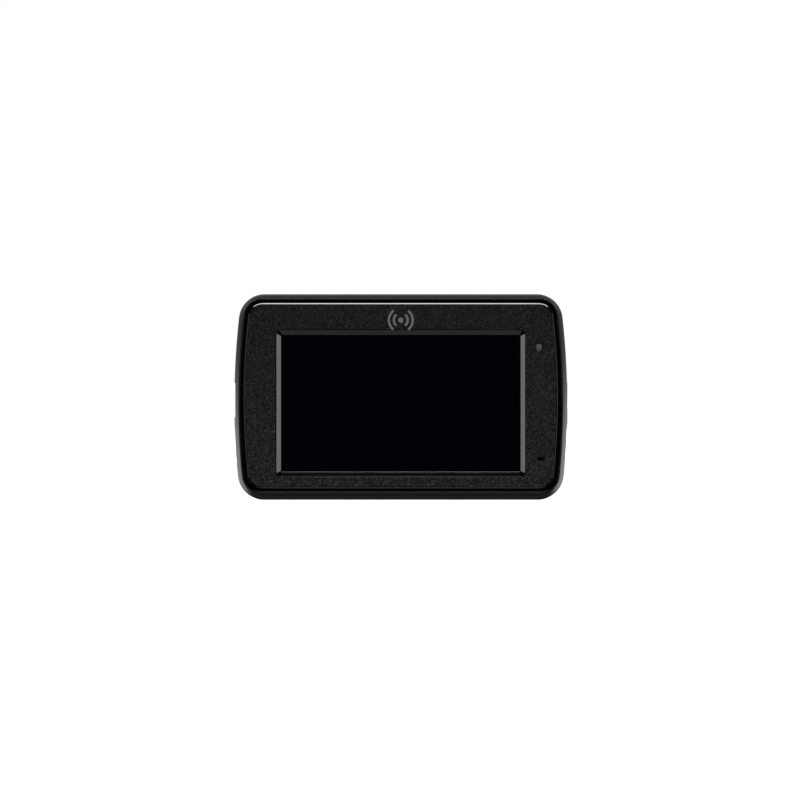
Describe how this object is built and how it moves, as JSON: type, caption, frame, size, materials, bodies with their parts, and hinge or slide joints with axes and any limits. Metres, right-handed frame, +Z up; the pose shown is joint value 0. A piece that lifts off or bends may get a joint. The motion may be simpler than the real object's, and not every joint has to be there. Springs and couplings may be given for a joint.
{
  "type": "radar detector",
  "caption": "Windscreen radar detector: black case with a wide colour display in a bevelled bezel, side keys, card slot, power socket, rear horn and laser receivers, speaker and mount rail.",
  "frame": {"origin": "on the flat underside of the case, below the middle of its width and halfway between the face plate and the end of the mount rail", "axes": "+X to the right as the driver sees the display, +Y ahead towards the road, +Z up"},
  "size_m": [0.0937, 0.038, 0.0578],
  "materials": {
    "case_black": "fine moulded grain, satin black",
    "key_black": "smooth satin black",
    "screen_glass": "polished, near black when the display is off",
    "smoked_lens": "polished dark red smoked acrylic",
    "clear_plastic": "clear polycarbonate",
    "display_cell": "polished display glass",
    "stainless": "rolled stainless sheet",
    "screw_black": "black oxide steel",
    "screw_bright": "zinc plated steel",
    "die_cast": "die-cast, satin",
    "board_green": "green solder mask on glass-fibre board",
    "chip_black": "moulded epoxy",
    "rubber_black": "matte moulded rubber",
    "flex_amber": "polyimide film",
    "ceramic_tan": "fired ceramic with a plated patch",
    "foil_blue": "sleeved aluminium can",
    "paper_cone": "pressed black paper",
    "led_white": "moulded white resin",
    "print_grey": "pale grey pad print"
  },
  "bodies": {
    "case": {"front_bezel": "case_black", "housing": "case_black", "rear_cover": "case_black", "mount_rail": "case_black", "screen_glass": "screen_glass", "laser_window": "smoked_lens", "light_pipe": "clear_plastic", "laser_lens": "clear_plastic", "lcd_panel": "display_cell", "backlight": "stainless", "processor_shield": "stainless", "receiver_shield": "stainless", "power_socket_shell": "stainless", "card_socket": "stainless", "chassis_frame": "stainless", "case_screw_1": "screw_black", "case_screw_2": "screw_black", "case_screw_3": "screw_black", "case_screw_4": "screw_black", "rail_screw_1": "screw_black", "rail_screw_2": "screw_black", "board_screw_1": "screw_bright", "board_screw_2": "screw_bright", "board_screw_3": "screw_bright", "board_screw_4": "screw_bright", "horn_antenna": "die_cast", "speaker_frame": "die_cast", "microphone": "die_cast", "main_board": "board_green", "receiver_board": "board_green", "laser_board": "board_green", "gps_board": "board_green", "processor": "chip_black", "memory_chip": "chip_black", "power_inductor": "chip_black", "display_connector": "chip_black", "receiver_connector": "chip_black", "laser_photodiode": "chip_black", "power_socket_tongue": "chip_black", "mute_switch": "chip_black", "power_switch": "chip_black", "reset_switch": "chip_black", "window_gasket": "rubber_black", "microphone_boot": "rubber_black", "speaker_gasket": "rubber_black", "speaker_lead": "rubber_black", "laser_lens_holder": "rubber_black", "display_flex": "flex_amber", "gps_antenna": "ceramic_tan", "backup_capacitor": "foil_blue", "speaker_cone": "paper_cone", "indicator_led": "led_white"},
    "mute_button": {"mute_key": "key_black", "mute_plunger": "led_white"},
    "power_button": {"power_key": "key_black", "power_plunger": "led_white"},
    "reset_button": {"reset_plunger": "led_white"},
    "card": {"memory_card": "chip_black"}
  },
  "joints": [
    {"name": "mute_press", "type": "slide", "parent": "case", "child": "mute_button", "axis": [-1, 0, 0], "range_m": [0, 0.00035], "stiffness_N_per_m": 1500},
    {"name": "power_press", "type": "slide", "parent": "case", "child": "power_button", "axis": [-1, 0, 0], "range_m": [0, 0.00035], "stiffness_N_per_m": 1500},
    {"name": "reset_press", "type": "slide", "parent": "case", "child": "reset_button", "axis": [1, 0, 0], "range_m": [0, 0.00025], "stiffness_N_per_m": 1500},
    {"name": "card_slide", "type": "slide", "parent": "case", "child": "card", "axis": [0, 0, 1], "range_m": [-0.0008, 0.003]}
  ]
}
